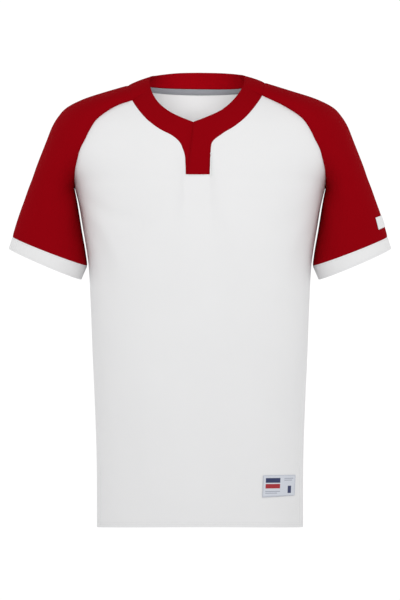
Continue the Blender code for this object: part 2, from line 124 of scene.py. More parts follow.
# Sections of the sleeve past the neck seam, from the shoulder down to the cuff
SLEEVE = (
    # top_x, top_z, front_x, front_z, back_x, back_z, front_full, back_full
    (163.0, -12.5, 150.0, -41.0, 138.0, -28.0, 76.0, 80.0),
    (205.0, -26.0, 180.0, -61.5, 166.0, -54.0, 84.0, 93.0),
    (236.0, -41.5, 194.0, -81.0, 182.0, -80.0, 88.0, 98.0),
    (252.0, -58.5, 203.0, -99.0, 194.0, -104.0, 89.0, 99.0),
    (263.0, -77.0, 212.0, -117.0, 204.0, -124.0, 87.0, 96.0),
    (272.5, -101.0, 217.0, -135.0, 211.0, -142.0, 83.0, 90.0),
    (282.0, -125.0, 221.0, -153.0, 217.0, -158.0, 77.0, 83.0),
    (290.5, -147.0, 222.5, -172.0, 221.5, -174.0, 72.0, 76.0),
    (297.0, -166.0, 222.0, -186.0, 222.0, -186.0, 68.5, 71.0),
    (305.0, -187.0, 218.2, -207.0, 218.2, -207.0, 66.5, 69.0),
    (312.0, -207.0, 214.0, -232.0, 214.0, -232.0, 65.0, 67.5),
    (320.0, -229.0, 209.3, -262.0, 209.3, -262.0, 64.0, 66.0),
    (327.5, -252.0, 203.6, -294.0, 203.6, -294.0, 63.5, 65.0),
    (333.0, -271.0, 199.6, -322.0, 199.6, -322.0, 63.0, 64.0),
)
UNDERARM_ROW = 9
CUFF_ROW = len(SLEEVE)
RAGLAN_CROWDING = 1.3
# How much fuller the first section is than its edges are deep
NECK_SPARE = 0.5
CUFF_TOP = (339.4, -292.0)
CUFF_LOW = (210.6, -347.0)
CUFF_DIP = 3.5

TAPE_WIDTH = 12.0
TAPE_DEPTH = 2.9
# The tape lies towards the points this many rows away from the neck seam
TAPE_TOWARDS = 4
# The tag's corners in x and height, left to right seen from the front: above, and then below
TAG_ABOVE = ((111.5, -692.6), (168.1, -692.6))
TAG_BELOW = ((109.7, -731.8), (166.3, -728.8))
PATCH_ROWS = (12.17, 13.05)
PATCH_BACK, PATCH_FRONT = math.radians(7.0), math.radians(37.0)
TRIM_HEIGHT = 1.4
# Rows and columns of the tag and the patch
TAG_GRID, PATCH_GRID = (19, 29), (13, 21)

# -------- cloth, seams and thread
BODY_CLOTH = 1.1
BAND_CLOTH = 1.2
TRIM_CLOTH = 0.9
EDGE_ROUND = 0.3
EDGE_ANGLE = math.radians(60)
SMOOTH_ANGLE = math.radians(55)
SEAM_DEPTH = 0.75
SEAM_REACH = 2.6
SEAM_POINTS = 0.7
# One half of the neckband runs on past the middle of the back, a little inwards, to shut the gap
BACK_LAP = 0.8
BACK_TUCK = 0.2
THREAD = 0.42
STITCH_PITCH = 3.0
STITCH_LENGTH = 2.2
STITCH_LIFT = 0.12
TRIM_THREAD = {"pitch": 1.6, "length": 1.3, "thread": 0.3}
# Rows of stitches, by their distance from the edge or seam that they follow
HEM_ROWS = (5.0, 9.0)
BESIDE_SEAM = 2.4
CUFF_EDGE_ROW = 3.2
NECK_EDGE_ROW = 2.2
TAG_EDGE_ROW = 1.1
PATCH_EDGE_ROW = 0.9
# The side seams are stitched from this share of their way down to the hem
SIDE_ROWS_FROM = 0.78

# Creases on the body, each through points of the front or back (x, height), and on the sleeves
# through points (row, share). A trough has a negative depth and a ridge a positive one
CREASE_FADE = 0.6
CREASE_REACH = 3
BODY_CREASES = (
    # behind, width, depth, points
    (False, 15.0, -1.9, ((-214, -196), (-160, -232), (-96, -246))),
    (False, 17.0, -1.5, ((213, -202), (166, -246), (118, -268))),
    (False, 13.0, 1.0, ((-208, -214), (-168, -262), (-140, -330))),
    (False, 18.0, -1.3, ((-204, -232), (-172, -300), (-150, -392))),
    (False, 16.0, -1.4, ((206, -226), (180, -290), (166, -370))),
    (False, 24.0, -2.2, ((-183, -430), (-181, -520), (-176, -628))),
    (False, 24.0, -2.0, ((184, -440), (181, -538), (177, -640))),
    (False, 26.0, -1.3, ((-118, -420), (-128, -590), (-112, -775))),
    (False, 22.0, 1.1, ((-84, -500), (-92, -650), (-80, -780))),
    (False, 26.0, -1.1, ((92, -455), (108, -620), (96, -778))),
    (False, 24.0, 0.9, ((58, -560), (66, -690), (60, -780))),
    (False, 20.0, -0.8, ((-14, -330), (-26, -500), (-16, -640))),
    (False, 12.0, -0.7, ((-30, -168), (-48, -214), (-62, -270))),
    (False, 12.0, -0.6, ((18, -168), (30, -222), (36, -280))),
    (False, 18.0, -0.9, ((-150, -96), (-112, -132), (-70, -150))),
    (False, 18.0, -0.8, ((148, -90), (112, -122), (74, -146))),
    (True, 17.0, -2.0, ((214, -200), (158, -240), (92, -258))),
    (True, 16.0, -1.7, ((-213, -198), (-164, -244), (-112, -276))),
    (True, 15.0, 1.1, ((206, -224), (172, -280), (150, -350))),
    (True, 22.0, -1.8, ((176, -420), (170, -540), (160, -660))),
    (True, 24.0, -1.7, ((-178, -410), (-170, -520), (-158, -640))),
    (True, 28.0, -1.8, ((-60, -390), (-74, -560), (-58, -770))),
    (True, 24.0, 1.3, ((-20, -420), (-28, -600), (-14, -775))),
    (True, 27.0, -1.6, ((44, -360), (58, -540), (50, -772))),
    (True, 24.0, 1.0, ((96, -470), (108, -640), (98, -778))),
    (True, 20.0, -1.0, ((-130, -70), (-70, -96), (-6, -100))),
    (True, 20.0, -0.9, ((126, -84), (72, -112), (16, -116))),
)
SLEEVE_CREASES = (
    # side, width, depth, points
    (-1, 12.0, -1.5, ((8.6, 0.9), (9.8, 0.66), (11.2, 0.5))),
    (-1, 12.0, 1.0, ((9.4, 0.92), (10.8, 0.74), (12.6, 0.62))),
    (-1, 14.0, -1.3, ((10.0, 0.96), (11.6, 0.84), (13.4, 0.74))),
    (-1, 16.0, -0.9, ((3.4, 0.72), (5.6, 0.58), (7.6, 0.5))),
    (-1, 14.0, -1.4, ((8.7, -0.9), (10.0, -0.64), (11.6, -0.5))),
    (-1, 14.0, 0.9, ((9.6, -0.93), (11.2, -0.74), (13.0, -0.6))),
    (-1, 16.0, -1.1, ((3.2, -0.76), (5.4, -0.6), (7.8, -0.46))),
    (1, 13.0, -1.4, ((8.5, 0.9), (9.9, 0.68), (11.5, 0.48))),
    (1, 12.0, 0.9, ((9.5, 0.93), (11.0, 0.76), (12.8, 0.6))),
    (1, 14.0, -1.2, ((10.4, 0.97), (12.0, 0.85), (13.5, 0.76))),
    (1, 16.0, -0.8, ((3.0, 0.7), (5.2, 0.56), (7.2, 0.46))),
    (1, 14.0, -1.5, ((8.8, -0.9), (10.2, -0.66), (11.9, -0.48))),
    (1, 16.0, -1.0, ((3.6, -0.74), (5.8, -0.58), (8.0, -0.44))),
)

# -------- outlines


def smooth_through(places, rows):
    """The smooth curve through these rows, each at its own place, as a function of the place."""
    places = np.asarray(places, float)
    rows = np.asarray(rows, float)
    step = np.diff(places)[:, None]
    slope = np.diff(rows, axis=0) / step
    tangent = np.empty_like(rows)
    tangent[0], tangent[-1] = slope[0], slope[-1]
    tangent[1:-1] = (step[1:] * slope[:-1] + step[:-1] * slope[1:]) / (step[1:] + step[:-1])

    def at(place):
        place = np.clip(place, places[0], places[-1])
        row = int(np.clip(np.searchsorted(places, place, side="right") - 1, 0, len(step) - 1))
        width = step[row, 0]
        t = (place - places[row]) / width
        start = (1 + 2 * t) * (1 - t) ** 2 * rows[row] + t * (1 - t) ** 2 * width * tangent[row]
        end = t * t * (3 - 2 * t) * rows[row + 1] - t * t * (1 - t) * width * tangent[row + 1]
        return start + end

    return at


BODY_FROM_HEM = np.array(BODY[::-1])
body_section = smooth_through(BODY_FROM_HEM[:, 0], BODY_FROM_HEM[:, 1:])


def body_point(angle, height):
    """A point of the body's outer face, at an angle from the middle of the front towards +X."""
    half_width, front, back, _ = body_section(height)
    depth = front if math.cos(angle) > 0 else back
    across = (abs(math.sin(angle)) / half_width) ** BODY_SQUARENESS
    along = (abs(math.cos(angle)) / depth) ** BODY_SQUARENESS
    reach = (across + along) ** (-1 / BODY_SQUARENESS)
    return np.array((reach * math.sin(angle), -reach * math.cos(angle), height))


def on_body(x, height, behind=False):
    """The point of the body's front or back face at this x and height."""
    half_width, front, back, _ = body_section(height)
    inside = max(0.0, 1 - (abs(x) / half_width) ** BODY_SQUARENESS) ** (1 / BODY_SQUARENESS)
    return np.array((x, back * inside if behind else -front * inside, height))


def neck_tables(side):
    """The band's inner edge and outer seam on one side, from the middle of the back to the V."""
    inner = [row[:3] for row in NECK[side]]
    outer = [(row[3], 0.0, row[4]) for row in NECK[side]]
    down = [(x, 0.0, z) for _, x, z in PLACKET_SEAM[side]]
    places = list(range(V_POINT + 1))
    down_places = [place for place, _, _ in PLACKET_SEAM[side]]
    return smooth_through(places, inner), smooth_through(places + down_places, outer + down)


def sleeve_table(side):
    """The sleeve's section values, whose first row comes from the neck seam on that side."""
    _, outer = neck_tables(side)
    top = outer(SHOULDER)
    front = on_body(*outer(FRONT_CORNER)[[0, 2]])
    back = on_body(*outer(BACK_CORNER)[[0, 2]], behind=True)
    neck_row = (
        abs(top[0]),
        top[2],
        abs(front[0]),
        front[2],
        abs(back[0]),
        back[2],
        abs(front[1]) + NECK_SPARE,
        abs(back[1]) + NECK_SPARE,
    )
    return smooth_through(range(CUFF_ROW + 1), (neck_row,) + SLEEVE)


def half_section(top, edge, full, share):
    """A point of the arc from the top line (share 0) to the front or back edge (share 1)."""
    depth = abs(edge[1])
    end = math.pi - math.asin(min(1.0, depth / full))
    fall = math.hypot(top[0] - edge[0], top[2] - edge[2])
    radius = fall / (1 - math.cos(end))
    turn = share * end
    fall_share = radius * (1 - math.cos(turn)) / fall
    point = top + (edge - top) * fall_share
    point[1] = math.copysign(full * math.sin(turn), edge[1]) if share < 1 else edge[1]
    return point


def cuff_dip(side, forward, share):
    """How far a point near the cuff hangs lower in front and higher behind."""
    down = np.array((CUFF_TOP[0] - SLEEVE[-1][0], 0.0, CUFF_TOP[1] - SLEEVE[-1][1]))
    down[0] *= side
    return down / np.linalg.norm(down) * CUFF_DIP * forward * share


def sleeve_point(table, side, row, share):
    """A point of the sleeve's outer face, by a share from -1 at its back edge to 1 at its front."""
    top_x, top_z, front_x, front_z, back_x, back_z, front_full, back_full = table(row)
    top = np.array((side * top_x, 0.0, top_z))
    if share >= 0:
        edge, full = on_body(side * front_x, front_z), front_full
    else:
        edge, full = on_body(side * back_x, back_z, behind=True), back_full
    if row >= UNDERARM_ROW:
        edge[1] = 0.0
    facing = math.copysign(1.0, share)
    edge[1] = -facing * max(abs(edge[1]), 1e-9)
    point = half_section(top, edge, full, abs(share))
    past_underarm = max(0.0, row - UNDERARM_ROW) / (CUFF_ROW - UNDERARM_ROW)
    if row > UNDERARM_ROW:
        point += cuff_dip(side, -point[1] / full, past_underarm)
    if row >= UNDERARM_ROW and abs(share) == 1:
        point[1] = 0.0
    return point


# -------- rows and columns of the sheets


# How far the closer rows beside a seam stand from it
NEAR_SEAM = (0.8, 1.9, 3.4, 5.4)


def spaced(length, step, start=True, end=True):
    """Shares of a stretch, about a step apart, with closer ones beside the ends that are seams."""
    even = np.linspace(0, 1, round(length / step) + 1)
    clear = (NEAR_SEAM[-1] + 0.4 * step) / length
    keep = (even == 0) | (even == 1)
    keep |= ((even > clear) if start else True) & ((even < 1 - clear) if end else True)
    extra = [away / length for away in NEAR_SEAM if start]
    extra += [1 - away / length for away in NEAR_SEAM if end]
    return np.array(sorted(list(even[keep]) + extra))


# Each stretch's length and the step along it, and which of its ends isn't a seam
HALF_SHARES = spaced(210.0, 5.2, start=False)
SLEEVE_SHARES = np.concatenate([-HALF_SHARES[::-1], HALF_SHARES[1:]])
RAGLAN_STEPS = UNDERARM_ROW * (1 - (1 - spaced(260.0, 4.6, end=False)) ** RAGLAN_CROWDING)
ARM_STEPS = UNDERARM_ROW + (CUFF_ROW - UNDERARM_ROW) * spaced(150.0, 4.6, start=False)[1:]
SIDE_STEPS = UNDERARM + (HEM - UNDERARM) * (1 - spaced(600.0, 6.4, end=False))
BACK_PLACES = BACK_CORNER * spaced(104.0, 2.3, start=False)
FRONT_PLACES = FRONT_CORNER + (V_POINT - FRONT_CORNER) * spaced(125.0, 3.4, end=False)
PLACKET_STEPS = spaced(56.0, 2.8, start=False)
FOOT_STEPS = spaced(43.4, 3.0)[1:-1]
BAND_STEPS = spaced(30.0, 2.6)
CUFF_STEPS = spaced(25.4, 2.6)


def neck_seam(side, sleeve):
    """The band's outer seam in three stretches: along the back, the sleeve and the front."""
    _, outer = neck_tables(side)
    back = [on_body(*outer(place)[[0, 2]], behind=True) for place in BACK_PLACES]
    back[-1] = sleeve[0, 0]
    front = [on_body(*outer(place)[[0, 2]]) for place in FRONT_PLACES]
    front[0] = sleeve[0, -1]
    placket = [V_POINT + (PLACKET_END - V_POINT) * share for share in PLACKET_STEPS]
    down = [on_body(*outer(place)[[0, 2]]) for place in placket]
    return np.array(back), sleeve[0], np.array(front + down[1:])


def blend(sides, ends, side_share, end_share):
    """A four-sided patch filled from its sides and ends, by shares along both."""
    (left, right), (low, high) = sides, ends
    s = np.asarray(end_share)[None, :, None]
    t = np.asarray(side_share)
    between_ends = (1 - t) * low[None] + t * high[None]
    between_sides = (1 - s) * left[:, None] + s * right[:, None]
    corners = (1 - t) * ((1 - s) * low[0] + s * low[-1]) + t * ((1 - s) * high[0] + s * high[-1])
    return between_ends + between_sides - corners


def side_seam(side):
    """The side seam from the hem to the underarm, as angles and heights."""
    return [(side * (math.pi / 2 - math.radians(body_section(z)[3])), z) for z in SIDE_STEPS]


def column_shares(top):
    """Where each column stands, between even steps and the spacing of the top edge."""
    along = np.concatenate([[0], np.cumsum(np.linalg.norm(np.diff(top, axis=0), axis=1))])
    even = np.linspace(0, 1, len(top))
    return 0.5 * even + 0.5 * along / along[-1]


def panel_grid(top, raglans, behind):
    """Front or back, from its top edge down to the hem, filled between its own seam lines."""
    turn = math.pi if behind else 0.0
    facing = -1 if behind else 1

    def flat(point):
        return np.array((math.atan2(facing * point[0], -facing * point[1]), point[2]))

    sides = []
    for side, raglan in zip((-facing, facing), raglans):
        seam = [(angle - side * turn, z) for angle, z in side_seam(side)]
        sides.append(np.array(seam + [flat(point) for point in raglan[1:]]))
    high = np.array([flat(point) for point in top])
    share = column_shares(top)
    low = sides[0][0] + (sides[1][0] - sides[0][0]) * share[:, None]
    if not behind:
        low[:, 1] += HEM_RISE * np.sin(share * math.pi)
    middle = (sides[0] + sides[1])[:, 1] / 2
    climb = (middle - middle[0]) / (middle[-1] - middle[0])
    spread = 1 - (1 - SPREAD_FROM_NECK) * (4 * share * (1 - share)) ** SPREAD_SHARPNESS
    turned = 1 - (1 - climb[:, None]) ** spread
    climb = np.stack(np.broadcast_arrays(turned, climb[:, None]), axis=2)
    filled = blend(sides, (low, high), climb, share)[::-1]
    grid = np.array([[body_point(turn + angle, z) for angle, z in row] for row in filled])
    grid[0] = top
    for column, side, raglan in ((0, -facing, raglans[0]), (-1, facing, raglans[1])):
        grid[: len(raglan), column] = raglan[::-1]
        seam = [body_point(angle, z) for angle, z in side_seam(side)[::-1]]
        grid[len(raglan) - 1 :, column] = seam
    return grid


def cuff_grid(side, sleeve):
    """A band from the sleeve's last row down to the cuff's edge."""
    top = np.array((side * CUFF_TOP[0], 0.0, CUFF_TOP[1]))
    low = np.array((side * CUFF_LOW[0], 0.0, CUFF_LOW[1]))
    full = SLEEVE[-1][6:]
    edge = []
    for share in SLEEVE_SHARES:
        point = top + (low - top) * (1 - math.cos(share * math.pi)) / 2
        depth = full[0] if share >= 0 else full[1]
        point[1] = -depth * math.sin(share * math.pi)
        edge.append(point + cuff_dip(side, -point[1] / depth, 1.0))
    return np.array([sleeve[-1] + (np.array(edge) - sleeve[-1]) * share for share in CUFF_STEPS])


def band_grid(side, seam):
    """One half of the neckband, from the middle of the back to the foot of the placket."""
    inner_at, _ = neck_tables(side)
    over = side > 0
    outer = np.concatenate([seam[0], seam[1][1:], seam[2][1:]])
    over_sleeve = BACK_CORNER + (FRONT_CORNER - BACK_CORNER) * (SLEEVE_SHARES + 1) / 2
    places = np.concatenate([BACK_PLACES, over_sleeve[1:], FRONT_PLACES[1:]])
    inner = [inner_at(place) for place in places]
    end_edge = OVER_EDGE if over else UNDER_EDGE
    top = inner_at(V_POINT)
    edge = smooth_through(
        [-top[2]] + [-z for _, z in end_edge],
        [(top[0], 0.0, top[2])] + [(x, 0.0, z) for x, z in end_edge],
    )
    for share in PLACKET_STEPS[1:]:
        x, _, z = edge(-top[2] + share * (top[2] - end_edge[-1][1]))
        inner.append(on_body(x, z))
    inner = np.array(inner)
    grid = np.array([inner + (outer - inner) * share for share in BAND_STEPS])
    outwards = np.cross(np.gradient(grid, axis=0), np.gradient(grid, axis=1)) * -side
    outwards /= np.linalg.norm(outwards, axis=2, keepdims=True)
    rise = np.clip((places - RISE_FROM) / (V_POINT - RISE_FROM), 0, 1)
    rise = np.concatenate([rise, np.ones(len(PLACKET_STEPS) - 1)])
    rise = rise * rise * (3 - 2 * rise)
    roll = BAND_ROLL * np.sin(BAND_STEPS * math.pi)[:, None] * (1 - rise)
    if over:
        roll += OVER_LIFT * rise * np.clip((1 - BAND_STEPS) / LIFT_SLOPE, 0, 1)[:, None]
    return grid + outwards * roll[:, :, None]


# -------- normals, creases and seam valleys


def grid_normals(grid):
    """The outward direction at each point, as long as the faces around it are wide."""
    face = np.cross(grid[1:, 1:] - grid[:-1, :-1], grid[:-1, 1:] - grid[1:, :-1])
    total = np.zeros_like(grid)
    total[:-1, :-1] += face
    total[:-1, 1:] += face
    total[1:, :-1] += face
    total[1:, 1:] += face
    return total / (np.linalg.norm(total, axis=2, keepdims=True) + 1e-12)


def share_normals(sheets):
    """Sheets that meet at a seam take the same direction there, so that their creases run on."""
    sums = {}
    for sheet in sheets:
        for point, normal in zip(sheet["grid"].reshape(-1, 3), sheet["out"].reshape(-1, 3)):
            key = tuple(np.round(point, 2))
            sums[key] = sums.get(key, 0) + normal
    for sheet in sheets:
        points = sheet["grid"].reshape(-1, 3)
        found = np.array([sums[tuple(np.round(point, 2))] for point in points])
        found /= np.linalg.norm(found, axis=1, keepdims=True)
        sheet["out"] = found.reshape(sheet["grid"].shape)


def dense(points, step):
    """The polyline through these points, with a point about every step."""
    points = np.asarray(points, float)
    along = np.concatenate([[0], np.cumsum(np.linalg.norm(np.diff(points, axis=0), axis=1))])
    marks = np.linspace(0, along[-1], max(2, int(along[-1] / step)))
    return np.stack([np.interp(marks, along, points[:, axis]) for axis in range(3)], axis=1)


def bent_through(places):
    """Twenty-five places on the smooth bend through three."""
    bend = smooth_through((0.0, 0.5, 1.0), places)
    return [bend(share) for share in np.linspace(0, 1, 25)]


def crease_lines():
    """Every crease as (points of its line, width, depth)."""
    lines = []
    for behind, width, depth, places in BODY_CREASES:
        lines.append(([on_body(x, z, behind) for x, z in bent_through(places)], width, depth))
    for side, width, depth, places in SLEEVE_CREASES:
        table = sleeve_table(side)
        line = [sleeve_point(table, side, row, share) for row, share in bent_through(places)]
        lines.append((line, width, depth))
    return [(np.array(line), width, depth) for line, width, depth in lines]


def tree_of(points):
    """A search tree that finds the nearest of these points."""
    tree = kdtree.KDTree(len(points))
    for number, point in enumerate(points):
        tree.insert(Vector(point), number)
    tree.balance()
    return tree


def relief(points, creases, seams):
    """How far each point stands out from the smooth outer surface."""
    rise = np.zeros(len(points))
    for line, width, depth in creases:
        reach = CREASE_REACH * width
        low, high = line.min(axis=0) - reach, line.max(axis=0) + reach
        close = np.flatnonzero(((points > low) & (points < high)).all(axis=1))
        if not len(close):
            continue
        away = np.linalg.norm(points[close, None] - line[None], axis=2)
        nearest = away.argmin(axis=1)
        along = nearest / (len(line) - 1)
        fade = np.sin(np.pi * np.clip(along, 0, 1)) ** CREASE_FADE
        rise[close] += depth * fade * np.exp(-((away.min(axis=1) / width) ** 2))
    for number, point in enumerate(points):
        away = seams.find(Vector(point))[2]
        if away < 4 * SEAM_REACH:
            rise[number] -= SEAM_DEPTH * math.exp(-((away / SEAM_REACH) ** 2))
    return rise


# -------- making pieces


def deselect():
    bpy.ops.object.select_all(action="DESELECT")


def lengths_along(grid, axis):
    """How far each point lies from the start of its row or column."""
    steps = np.linalg.norm(np.diff(grid, axis=axis), axis=2)
    start = np.zeros_like(steps[:1] if axis == 0 else steps[:, :1])
    return np.cumsum(np.concatenate([start, steps], axis=axis), axis=axis)


def lay_sheet(name, grid):
    """A grid of cloth laid on these points, with a UV map in metres along its rows and columns."""
    rows, columns = grid.shape[:2]
    deselect()
    bpy.ops.mesh.primitive_grid_add(x_subdivisions=columns - 1, y_subdivisions=rows - 1, size=2)
    piece = bpy.context.active_object
    piece.name = piece.data.name = name
    mesh = piece.data
    flat = np.empty(len(mesh.vertices) * 3)
    mesh.vertices.foreach_get("co", flat)
    flat = flat.reshape(-1, 3)
    column = np.rint((flat[:, 0] + 1) / 2 * (columns - 1)).astype(int)
    row = np.rint((1 - flat[:, 1]) / 2 * (rows - 1)).astype(int)
    mesh.vertices.foreach_set("co", (grid[row, column] * MILLIMETRE).ravel())
    across, down = lengths_along(grid, 1), lengths_along(grid, 0)
    across -= across[:, columns // 2][:, None]
    corners = np.empty(len(mesh.loops), int)
    mesh.loops.foreach_get("vertex_index", corners)
    place = np.stack([across[row, column], -down[row, column]], axis=1)[corners] * MILLIMETRE
    mesh.uv_layers[0].data.foreach_set("uv", place.ravel())
    mesh.update()
    return piece


def apply_all(piece):
    bpy.context.view_layer.objects.active = piece
    for modifier in list(piece.modifiers):
        bpy.ops.object.modifier_apply(modifier=modifier.name)


def thicken(piece, cloth):
    """Gives the sheet its thickness on the inside, and rounds its edges."""
    solid = piece.modifiers.new("cloth", "SOLIDIFY")
    solid.thickness = cloth * MILLIMETRE
    solid.offset = -1
    soft = piece.modifiers.new("edge", "BEVEL")
    soft.width = EDGE_ROUND * MILLIMETRE
    soft.segments = 2
    soft.limit_method = "ANGLE"
    soft.angle_limit = EDGE_ANGLE
    apply_all(piece)
    deselect()
    piece.select_set(True)
    bpy.ops.object.shade_smooth_by_angle(angle=SMOOTH_ANGLE)


def dress(piece, finish, node=None):
    """Gives a piece its finish in a slot, hangs it on the root body, and hides the imported part
    that it stands for, if any.
    """
    piece.data.materials.clear()
    piece.data.materials.append(finish)
    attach(piece, "root")
    if node:
        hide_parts(node)


def beside(sheet, edge, distance):
    """The line on a sheet at this distance from one of its edges, with its directions outward."""
    grid, out = sheet["worn"], sheet["out"]
    if edge in ("left", "right"):
        grid, out = grid.transpose(1, 0, 2), out.transpose(1, 0, 2)
    if edge in ("foot", "right"):
        grid, out = grid[::-1], out[::-1]
    away = lengths_along(grid, 0)
    line, facing = [], []
    for column in range(grid.shape[1]):
        marks = away[:, column]
        line.append([np.interp(distance, marks, grid[:, column, axis]) for axis in range(3)])
        facing.append([np.interp(distance, marks, out[:, column, axis]) for axis in range(3)])
    return np.array(line), np.array(facing)


def stitch_run(line, facing, pitch=STITCH_PITCH, length=STITCH_LENGTH, thread=THREAD):
    """A row of stitches: one stitch, repeated in a straight run, then laid along the line."""
    along = np.concatenate([[0], np.cumsum(np.linalg.norm(np.diff(line, axis=0), axis=1))])
    count = max(1, int(along[-1] / pitch))
    deselect()
    bpy.ops.mesh.primitive_uv_sphere_add(segments=6, ring_count=4, radius=1.0)
    run = bpy.context.active_object
    bpy.ops.object.mode_set(mode="EDIT")
    bpy.ops.mesh.select_all(action="SELECT")
    bpy.ops.transform.rotate(value=math.pi / 2, orient_axis="Y", center_override=(0, 0, 0))
    half_size = (length / 2, thread / 2, thread / 2)
    bpy.ops.transform.resize(value=half_size, center_override=(0, 0, 0))
    bpy.ops.object.mode_set(mode="OBJECT")
    repeat = run.modifiers.new("repeat", "ARRAY")
    repeat.use_relative_offset = False
    repeat.use_constant_offset = True
    repeat.constant_offset_displace = (along[-1] / count, 0, 0)
    repeat.count = count
    apply_all(run)
    straight = np.empty(len(run.data.vertices) * 3)
    run.data.vertices.foreach_get("co", straight)
    straight = straight.reshape(-1, 3)
    marks = straight[:, 0] + along[-1] / count / 2

    def at(places, rows):
        return np.stack([np.interp(places, along, rows[:, axis]) for axis in range(3)], axis=1)

    up = at(marks, facing)
    up /= np.linalg.norm(up, axis=1, keepdims=True)
    side = np.cross(up, at(marks + 0.5, line) - at(marks - 0.5, line))
    side /= np.linalg.norm(side, axis=1, keepdims=True) + 1e-9
    raised = straight[:, 2:3] + STITCH_LIFT * thread
    placed = at(marks, line) + side * straight[:, 1:2] + up * raised
    run.data.vertices.foreach_set("co", (placed * MILLIMETRE).ravel())
    run.data.update()
    return run


def sew(name, runs, finish):
    """Joins rows of stitches into one piece."""
    deselect()
    for run in runs:
        run.select_set(True)
    bpy.context.view_layer.objects.active = runs[0]
    if len(runs) > 1:
        bpy.ops.object.join()
    seam = runs[0]
    seam.name = seam.data.name = name
    bpy.ops.object.mode_set(mode="EDIT")
    bpy.ops.mesh.select_all(action="SELECT")
    bpy.ops.mesh.normals_make_consistent(inside=False)
    bpy.ops.object.mode_set(mode="OBJECT")
    bpy.ops.object.shade_smooth()
    dress(seam, finish)


# -------- finishes


class Shade:
    """One socket of a finish. Sums of shades add the nodes that work them out."""

    def __init__(self, finish, socket):
        self.finish = finish
        self.socket = socket

    def worked(self, operation, *others, clamp=False):
        settings = {"operation": operation, "use_clamp": clamp}
        return self.finish.node("ShaderNodeMath", settings, dict(enumerate((self, *others))))

    def __add__(self, other):
        return self.worked("ADD", other)

    def __sub__(self, other):
        return self.worked("SUBTRACT", other)

    def __mul__(self, other):
        return self.worked("MULTIPLY", other)

    def __truediv__(self, other):
        return self.worked("DIVIDE", other)

    def __rsub__(self, other):
        return (self * -1).worked("ADD", other)

    __radd__ = __add__
    __rmul__ = __mul__

    def clamped(self):
        return self.worked("ADD", 0.0, clamp=True)

    def wave(self):
        """A smooth wave from 0 to 1 that repeats as this shade grows by 1."""
        return (self * (2 * math.pi)).worked("SINE") * 0.5 + 0.5

    def between(self, low, high, soft):
        """1 where this shade lies from low to high and 0 elsewhere, over a soft edge."""
        return ((self - low) / soft + 0.5).clamped() * ((high - self) / soft + 0.5).clamped()


class Finish:
    """A cloth's material, with its nodes added one by one."""

    def __init__(self, name, roughness, gloss):
        self.material = bpy.data.materials.new(name)
        self.material.use_nodes = True
        self.nodes = self.material.node_tree.nodes
        self.links = self.material.node_tree.links
        self.shader = self.nodes["Principled BSDF"]
        self.shader.inputs["Roughness"].default_value = roughness
        self.shader.inputs["Specular IOR Level"].default_value = gloss

    def node(self, kind, settings=None, values=None, out=0):
        """Adds a node: its settings first, then the values or links of its sockets."""
        made = self.nodes.new(kind)
        for name, value in (settings or {}).items():
            setattr(made, name, value)
        for name, value in (values or {}).items():
            if isinstance(value, Shade):
                self.links.new(value.socket, made.inputs[name])
            else:
                made.inputs[name].default_value = value
        return Shade(self, made.outputs[out])

    def cloth_place(self):
        """How far across and down the sheet a point lies, in millimetres."""
        uv = self.node("ShaderNodeUVMap")
        values = {0: uv, "Scale": 1 / MILLIMETRE}
        place = self.node("ShaderNodeVectorMath", {"operation": "SCALE"}, values)
        return [self.node("ShaderNodeSeparateXYZ", None, {0: place}, out) for out in (0, 1)]

    def cloudy(self, size, detail=3.0):
        """Soft patches about this many metres wide, from 0 to 1."""
        place = self.node("ShaderNodeTexCoord", None, None, "Object")
        values = {"Vector": place, "Scale": 1 / size, "Detail": detail}
        return self.node("ShaderNodeTexNoise", None, values)

    def mixed(self, share, first, second):
        """A colour between two, by a share from 0 to 1."""
        first, second = [end if isinstance(end, Shade) else (*end, 1.0) for end in (first, second)]
        values = {0: share, 6: first, 7: second}
        return self.node("ShaderNodeMix", {"data_type": "RGBA"}, values, 2)

    def feed(self, name, shade):
        self.links.new(shade.socket, self.shader.inputs[name])

    def raise_by(self, height, depth, strength):
        """Bump: height runs from 0 to 1 over this depth in millimetres."""
        values = {"Height": height, "Strength": strength, "Distance": depth * MILLIMETRE}
        self.feed("Normal", self.node("ShaderNodeBump", None, values))


def knit_height(finish, wale, course):
    """The loops of a knitted face: ribs down the cloth, each made of small leaning loops."""
    across, down = finish.cloth_place()
    rib = (across / wale).wave()
    lean = (across / wale * 2.0).wave() * 0.35
    loop = (down / course + lean).wave()
    return rib * 0.6 + loop * 0.4


def knit(name, colours, wale, course, depth, roughness=0.85, gloss=0.1):
    """Knitted cloth with painted shade between its loops, darker in soft patches of its own tone,
    with a little fuzz.
    """
    finish = Finish(name, roughness, gloss)
    height = knit_height(finish, wale, course)
    patches = finish.cloudy(0.11)
    fuzz = finish.cloudy(0.0016, 2.0)
    # Painted shade between the loops, from the knit's height, mixed with the cloth's own uneven
    # tone in soft patches and fuzz
    loop_shade_and_tone = ((1 - height) * 0.3 + (patches - 0.5) * 0.35 + fuzz * 0.16).clamped()
    finish.feed("Base Color", finish.mixed(loop_shade_and_tone, *colours))
    finish.feed("Roughness", (patches * 0.1 + height * -0.08 + roughness).clamped())
    finish.raise_by(height * 0.85 + fuzz * 0.15, depth, 0.55)
    return finish.material


# A knit's or thread's own colour and its colour in painted shade, and the two colours of a weave
WHITE = (0.80, 0.80, 0.802), (0.72, 0.72, 0.724)
RED = (0.27, 0.0012, 0.0046), (0.21, 0.0007, 0.0033)
GREY = (0.195, 0.20, 0.22), (0.275, 0.28, 0.30)
WHITE_THREAD = (0.76, 0.76, 0.765), (0.64, 0.64, 0.65)
RED_THREAD = (0.25, 0.0015, 0.006), (0.18, 0.001, 0.004)
PALE_THREAD = (0.40, 0.43, 0.49), (0.30, 0.32, 0.37)
TAG_GROUND = (0.58, 0.61, 0.67), (0.70, 0.72, 0.77)
TAG_RIM = (0.50, 0.52, 0.58)
NAVY = (0.03, 0.04, 0.11)
SCARLET = (0.35, 0.02, 0.03)
FLOOR_COLOUR = (0.72, 0.72, 0.73)

